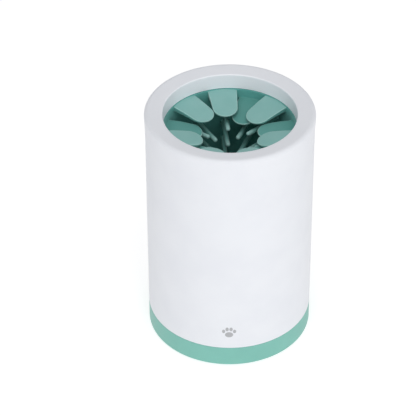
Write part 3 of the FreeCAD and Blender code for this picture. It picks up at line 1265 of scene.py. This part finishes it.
@dataclass
class Petals:
    """Two rows of soft tongues that close the mouth."""

    joints: dict[str, dict[str, Any]]
    root_width: float = 15.0 * MM
    end_width: float = 12.0 * MM
    root_thickness: float = 2.6 * MM
    end_thickness: float = 1.0 * MM
    tip_radius: float = 14.5 * MM
    wall_radius: float = 35.0 * MM
    edge_rounding: float = 0.4 * MM
    tip_share: float = 0.97
    slices: int = 9
    first_slice: float = 0.3
    flare: tuple[tuple[float, float, float], ...] = (
        (0.42, 1.01, 1.06), (0.33, 1.04, 1.15), (0.25, 1.07, 1.3),
    )
    # The lower row's second number, 1.0, gives it painted shade, as the upper row shades it.
    rows: tuple[PetalRow, PetalRow] = (
        PetalRow("upper_petal", 0.0, 3.0, 11.6, (1.2, -0.5, -2.0, 2.0, 1.5, 2.0, 4.0)),
        PetalRow("lower_petal", 1.0, -3.0, 8.4, (4.0, -1.0, 1.0, 0.0, 1.5, -3.5)),
    )
    hinge_lead: float = 0.8 * MM
    hinge_reach: float = 5.0 * MM

    def hinge(self, name: str) -> Vector:
        """The hinge point of one petal, from its joint."""
        return Vector(self.joints[name + "_bend"]["pos_m"])

    def build(self, dresser: Dresser) -> list[Piece]:
        """Models each row's petal once, copies it round and dresses the copies.

        Args:
            dresser: Gives the finishes, bodies and CAD nodes.

        Returns:
            The pieces.
        """
        made = []
        for row in self.rows:
            first = self.hinge(f"{row.prefix}_1")
            master = self._tongue(row, first.xy.length, first.z)
            for index, sag in enumerate(row.sags, 1):
                body = f"{row.prefix}_{index}"
                place = self.hinge(body)
                petal = Bench.copy(master, body + "_visual")
                self._sag(petal, math.radians(sag), Vector((first.xy.length, 0, first.z)))
                Bench.turn(petal, math.atan2(place.y, place.x))
                dresser.dress(petal, FinishName.PETAL, body)
                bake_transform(petal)
                made.append(petal)
            bpy.data.objects.remove(master)
        return made

    def _tongue(self, row: PetalRow, hinge_radius: float, height: float) -> Piece:
        """One petal along +X: a tapering slab with a round tip, soft edges and a flared root.

        Args:
            row: The row it belongs to.
            hinge_radius: How far its hinge is from the cup's axis.
            height: Its hinge's height.

        Returns:
            The petal in its place.
        """
        length = hinge_radius - self.tip_radius
        tip, root = self.tip_radius, hinge_radius
        size = (length, self.root_width, self.root_thickness)
        tongue = Bench.block(row.prefix, (root - length / 2, 0, height), size)
        Bench.edit(tongue)
        Bench.pick_points(tongue, points_near(X, tip))
        bpy.ops.transform.resize(
            value=(1, self.end_width / self.root_width, self.end_thickness / self.root_thickness),
            center_override=(tip, 0, height),
        )
        Bench.pick_edges(tongue, edges_near(X, tip, along_y=False))
        bpy.ops.mesh.bevel(
            offset=self.end_width / 2 * self.tip_share, segments=12, profile=0.5,
            affect="EDGES", clamp_overlap=False,
        )
        self._flare_root(tongue, root, height)
        self._soften_edges(tongue)
        shares = [index + self.first_slice for index in range(self.slices)]
        stations = [root - length * share / self.slices for share in shares]
        for station in stations:
            bpy.ops.mesh.select_all(action="SELECT")
            bpy.ops.mesh.bisect(plane_co=(station, 0, height), plane_no=(1, 0, 0))
        self._curl(tongue, row, stations, root, height)
        # painted shade for the lower row
        self._give_painted_shade(tongue, row.tone)
        bpy.ops.object.mode_set(mode="OBJECT")
        Bench.finish(tongue, 50, weighted=False)
        return tongue

    def _flare_root(self, tongue: Piece, root: float, height: float) -> None:
        """Extrudes the root end into the lining, wider and thicker step by step.

        Args:
            tongue: The petal being edited.
            root: Its hinge's distance from the cup's axis.
            height: Its hinge's height.
        """
        Bench.pick_points(tongue, points_near(X, root))
        bpy.ops.mesh.select_mode(type="FACE")
        run = self.wall_radius - root
        for share, wide, thick in self.flare:
            bpy.ops.mesh.extrude_region_move(TRANSFORM_OT_translate={"value": (run * share, 0, 0)})
            bpy.ops.transform.resize(value=(1, wide, thick), center_override=(root, 0, height))

    def _soften_edges(self, tongue: Piece) -> None:
        """Rounds the long edges between the faces and the sides, round the tip too, and marks them
        for a painted highlight.

        Args:
            tongue: The petal being edited.
        """
        end = self.wall_radius - 0.1 * MM

        def on_rim(edge: Edge) -> bool:
            """Whether an edge parts a flat face from an upright one."""
            if len(edge.link_faces) != 2 or all(point.co.x > end for point in edge.verts):
                return False
            upright = [abs(face.normal.z) for face in edge.link_faces]
            return max(upright) > 0.7 and min(upright) < 0.4

        Bench.pick_edges(tongue, on_rim)
        bpy.ops.mesh.bevel(
            offset=self.edge_rounding, segments=4, profile=0.5, affect="EDGES", clamp_overlap=True
        )
        # marks the rounded edges for the painted highlight
        self._mark_edge_highlight(tongue)

    @staticmethod
    def _mark_edge_highlight(tongue: Piece) -> None:
        """Gives the points inside the selected rounding a painted highlight value of 1.

        Args:
            tongue: The petal being edited.
        """
        mesh = bmesh.from_edit_mesh(tongue.data)
        values = mesh.verts.layers.float.new(EDGE_HIGHLIGHT_VALUES)
        for point in mesh.verts:
            if point.link_faces and all(face.select for face in point.link_faces):
                point[values] = 1.0
        bmesh.update_edit_mesh(tongue.data)

    @staticmethod
    def _give_painted_shade(tongue: Piece, tone: float) -> None:
        """Gives every point the row's painted shade.

        Args:
            tongue: The petal being edited.
            tone: How much painted shade the row gets, from 0 to 1.
        """
        mesh = bmesh.from_edit_mesh(tongue.data)
        values = mesh.verts.layers.float.new(PAINTED_SHADE_VALUES)
        for point in mesh.verts:
            point[values] = tone
        bmesh.update_edit_mesh(tongue.data)

    def _curl(
        self, tongue: Piece, row: PetalRow, stations: Sequence[float], root: float, height: float
    ) -> None:
        """Turns what lies inwards of each station a little further down than the last.

        Args:
            tongue: The petal being edited.
            row: Its row, with the first and last slope.
            stations: Where it was cut, from the root inwards.
            root: Its hinge's distance from the cup's axis.
            height: Its hinge's height.
        """
        edge = root + NEAR
        pivot = Vector((root, 0, height))
        Bench.pick_points(tongue, lambda co: co.x < edge)
        slope = math.radians(row.first_slope)
        self._turn_down(slope, pivot)
        step = math.radians(row.last_slope - row.first_slope) / (len(stations) - 1)
        here = root
        for station in stations[1:]:
            pivot = pivot + Vector((-math.cos(slope), 0, -math.sin(slope))) * (here - station)
            across = Vector((math.cos(slope), 0, math.sin(slope)))
            Bench.pick_points(tongue, self._inwards_of(pivot, across, edge))
            self._turn_down(step, pivot)
            slope += step
            here = station

    @staticmethod
    def _inwards_of(pivot: Vector, across: Vector, edge: float) -> PointTest:
        """A test for points on the tip's side of a section, the flared root left out."""
        return lambda co: (co - pivot).dot(across) < -NEAR and co.x < edge

    def _sag(self, petal: Piece, angle: float, centre: Vector) -> None:
        """Lowers a petal a little more about its hinge, its root left in place.

        Args:
            petal: The petal, along +X.
            angle: How far, in radians.
            centre: Its hinge's point.
        """
        edge = centre.x + NEAR
        Bench.edit(petal)
        Bench.pick_points(petal, lambda co: co.x < edge)
        self._turn_down(angle, centre)
        bpy.ops.object.mode_set(mode="OBJECT")

    @staticmethod
    def _turn_down(angle: float, centre: Vector) -> None:
        """Turns the selected points so that their inner ends go down."""
        bpy.ops.transform.rotate(value=angle, orient_axis="Y", center_override=centre)


@dataclass
class Pins:
    """Rows of round-ended pins that brush the paw."""

    joints: dict[str, dict[str, Any]]
    radius: float = 1.25 * MM
    tip_radius: float = 12.7 * MM
    wall_radius: float = 34.8 * MM
    row_count: int = 19
    count: int = 7
    first_turn: float = math.radians(44.6)
    bending_rows: int = 6
    tip_shares: tuple[float, float, float] = (0.713, 0.433, 0.244)
    tip_taper: float = 0.93
    tip_share: float = 0.9
    root_flare: float = 1.35
    slices: tuple[float, float, float] = (0.32, 0.66, 0.93)
    droop_degrees: float = 2.2
    sway_degrees: float = 1.6
    seed: random.Random = field(default_factory=lambda: random.Random(RAND_SEED))

    def build(self, dresser: Dresser) -> list[Piece]:
        """Models one fine and one plain pin and copies them into all the rows.

        Args:
            dresser: Gives the finishes, bodies and CAD nodes.

        Returns:
            The pieces.
        """
        fine = self._pin("fine_pin", 16, 4)
        plain = self._pin("plain_pin", 10, 2)
        made = []
        for row in range(self.row_count):
            node = f"bristle_row_{row + 1:02d}"
            low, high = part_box(node)
            height = (low.z + high.z) / 2
            bends = row < self.bending_rows
            master = fine if bends else plain
            pins = []
            for index in range(self.count):
                turn = self.first_turn + 2 * math.pi * (index + 0.5 * (row % 2)) / self.count
                name = f"pin_{row + 1:02d}_{index + 1}"
                pins.append((self._set_pin(master, name, height, turn), turn))
            if bends:
                for pin, turn in pins:
                    self._let_bend(pin)
                    dresser.dress(pin, FinishName.BRISTLE, node)
                    made.append(pin)
            else:
                joined = Bench.join([pin for pin, _ in pins], node + "_visual")
                dresser.dress(joined, FinishName.BRISTLE, node)
                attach(joined, "cup")
                made.append(joined)
        bpy.data.objects.remove(fine)
        bpy.data.objects.remove(plain)
        return made

    def _pin(self, name: str, sides: int, steps: int) -> Piece:
        """One pin along +X at height 0: a tapered stem with a round end and a flared root.

        Args:
            name: The pin's name.
            sides: How many sides its stem has.
            steps: How many steps round its end.

        Returns:
            The pin.
        """
        length = self.wall_radius - self.tip_radius
        Bench.clear()
        bpy.ops.mesh.primitive_cylinder_add(
            vertices=sides, radius=self.radius, depth=length, end_fill_type="NGON",
            location=(self.tip_radius + length / 2, 0, 0), rotation=(0, math.pi / 2, 0),
        )
        pin = Bench.settle(bpy.context.object, name)
        Bench.edit(pin)
        tip, wall = self.tip_radius, self.wall_radius
        Bench.pick_points(pin, points_near(X, tip))
        taper, flare = self.tip_taper, self.root_flare
        bpy.ops.transform.resize(value=(1, taper, taper), center_override=(tip, 0, 0))
        Bench.pick_edges(pin, edges_near(X, tip))
        offset = self.radius * self.tip_share
        bpy.ops.mesh.bevel(offset=offset, segments=steps, profile=0.5, affect="EDGES")
        for station in self.slices:
            bpy.ops.mesh.select_all(action="SELECT")
            bpy.ops.mesh.bisect(plane_co=(tip + length * station, 0, 0), plane_no=(1, 0, 0))
        Bench.pick_points(pin, points_near(X, wall))
        bpy.ops.transform.resize(value=(1, flare, flare), center_override=(wall, 0, 0))
        Bench.finish(pin, 60, weighted=False)
        return pin

    def _set_pin(self, master: Piece, name: str, height: float, turn: float) -> Piece:
        """Copies a pin to its height and side, a little off line as soft pins are.

        Args:
            master: The pin to copy.
            name: The copy's name.
            height: Its height.
            turn: Its direction about Z, in radians.

        Returns:
            The copy.
        """
        pin = Bench.copy(master, name)
        root = Vector((self.wall_radius, 0, 0))
        droop = math.radians(self.seed.uniform(-0.2, 1.0) * self.droop_degrees)
        sway = math.radians(self.seed.uniform(-1.0, 1.0) * self.sway_degrees)
        lean = Matrix.Rotation(sway, 4, "Z") @ Matrix.Rotation(-droop, 4, "Y")
        pin.matrix_world = (
            Matrix.Rotation(turn, 4, "Z")
            @ Matrix.Translation(root + Vector((0, 0, height)))
            @ lean
            @ Matrix.Translation(-root)
        )
        return Bench.settle(pin, name)

    def _let_bend(self, pin: Piece) -> None:
        """Puts the pin's place into its mesh; the pin is not made to bend.

        Args:
            pin: The pin.
        """
        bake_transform(pin)


# ---- studio
@dataclass(frozen=True)
class SoftLight:
    """One square area light that looks at the cup's middle."""

    name: str
    place: tuple[float, float, float]
    size: float
    power: float
    aim_height: float = 0.08

    def build(self) -> None:
        """Adds the light to the scene."""
        data = bpy.data.lights.new(self.name, "AREA")
        data.size = self.size
        data.energy = self.power
        lamp = bpy.data.objects.new(self.name, data)
        bpy.context.scene.collection.objects.link(lamp)
        lamp.location = self.place
        aim = Vector((0, 0, self.aim_height)) - Vector(self.place)
        lamp.rotation_euler = aim.to_track_quat("-Z", "Y").to_euler()


@dataclass
class Studio:
    """Pale floor, soft lights and the camera."""

    lens: float = 184.51
    sensor: float = 36.0
    camera_place: Vector = field(default_factory=lambda: Vector((0, -0.89199, 0.75862)))
    elevation: float = 37.7486
    roll: float = 0.2485
    shift: tuple[float, float] = (-0.0519, 0.0144)
    clip: tuple[float, float] = (0.05, 20.0)
    floor_size: float = 6.0
    floor_drop: float = 0.3 * MM
    floor_colour: Colour = (0.5, 0.5, 0.5)
    floor_glow: float = 0.66
    surroundings: Colour = (0.97, 0.98, 1.0)
    surroundings_strength: float = 0.51
    lights: tuple[SoftLight, ...] = (
        SoftLight("front_light", (0.3, -1.4, 0.5), 0.7, 3.4),
        SoftLight("top_light", (0.0, -0.65, 1.35), 0.8, 6.5),
        SoftLight("right_light", (1.25, -0.3, 0.5), 0.7, 0.9),
    )

    def build(self) -> None:
        """Sets up the floor, the surroundings, the lights and the camera."""
        self._floor()
        self._surroundings()
        for light in self.lights:
            light.build()
        self._camera()
        bpy.context.scene.view_settings.view_transform = "Standard"

    def _floor(self) -> None:
        """A wide plain floor just under the cup, which glows a little."""
        Bench.clear()
        bpy.ops.mesh.primitive_plane_add(size=self.floor_size, location=(0, 0, -self.floor_drop))
        floor = Bench.settle(bpy.context.object, "floor")
        material = bpy.data.materials.new("pale_floor")
        material.use_nodes = True
        Nodes(material.node_tree).fill(material.node_tree.nodes["Principled BSDF"], {
            "Base Color": (*self.floor_colour, 1),
            "Roughness": 0.9,
            "Specular IOR Level": 0.1,
            "Emission Color": (1.0, 1.0, 1.0, 1),
            "Emission Strength": self.floor_glow,
        })
        floor.data.materials.append(material)

    def _surroundings(self) -> None:
        """Nearly white light from all round."""
        world = bpy.data.worlds.new("studio")
        world.use_nodes = True
        inputs = {"Color": (*self.surroundings, 1), "Strength": self.surroundings_strength}
        Nodes(world.node_tree).fill(world.node_tree.nodes["Background"], inputs)
        bpy.context.scene.world = world

    def _camera(self) -> None:
        """The camera, above and in front of the cup."""
        data = bpy.data.cameras.new("camera")
        data.lens = self.lens
        data.sensor_width = self.sensor
        data.shift_x, data.shift_y = self.shift
        data.clip_start, data.clip_end = self.clip
        camera = bpy.data.objects.new("camera", data)
        bpy.context.scene.collection.objects.link(camera)
        rise, roll = math.radians(self.elevation), math.radians(self.roll)
        across = Vector((1, 0, 0))
        up = Vector((0, math.sin(rise), math.cos(rise)))
        back = Vector((0, -math.cos(rise), math.sin(rise)))
        side = math.cos(roll) * across + math.sin(roll) * up
        head = -math.sin(roll) * across + math.cos(roll) * up
        turn = Matrix((side, head, back)).transposed().to_4x4()
        camera.matrix_world = Matrix.Translation(self.camera_place) @ turn
        bpy.context.scene.camera = camera


def main() -> None:
    """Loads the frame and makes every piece."""
    logging.basicConfig(level=logging.INFO, format="%(name)s: %(message)s")
    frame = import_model()
    joints = {joint["name"]: joint for joint in frame["joints"]}
    shell_low, shell_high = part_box("outer_shell")
    base_low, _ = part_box("base_cap")
    _, liner_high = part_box("brush_liner")
    gasket_low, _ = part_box("base_gasket")
    rim = min(shell_high.x, shell_high.y, -shell_low.x, -shell_low.y)
    dresser = Dresser()
    assemblies = [
        Shell(rim_radius=rim, top=shell_high.z, foot=shell_low.z, skirt_bottom=liner_high.z),
        Base(seam=shell_low.z, ground_gap=base_low.z),
        Lining(top=liner_high.z, gasket_bottom=gasket_low.z),
        Petals(joints=joints),
        Pins(joints=joints),
    ]
    pieces = [piece for assembly in assemblies for piece in assembly.build(dresser)]
    log.info("%d pieces", len(pieces))
    Studio().build()


if __name__ == "__main__":
    main()
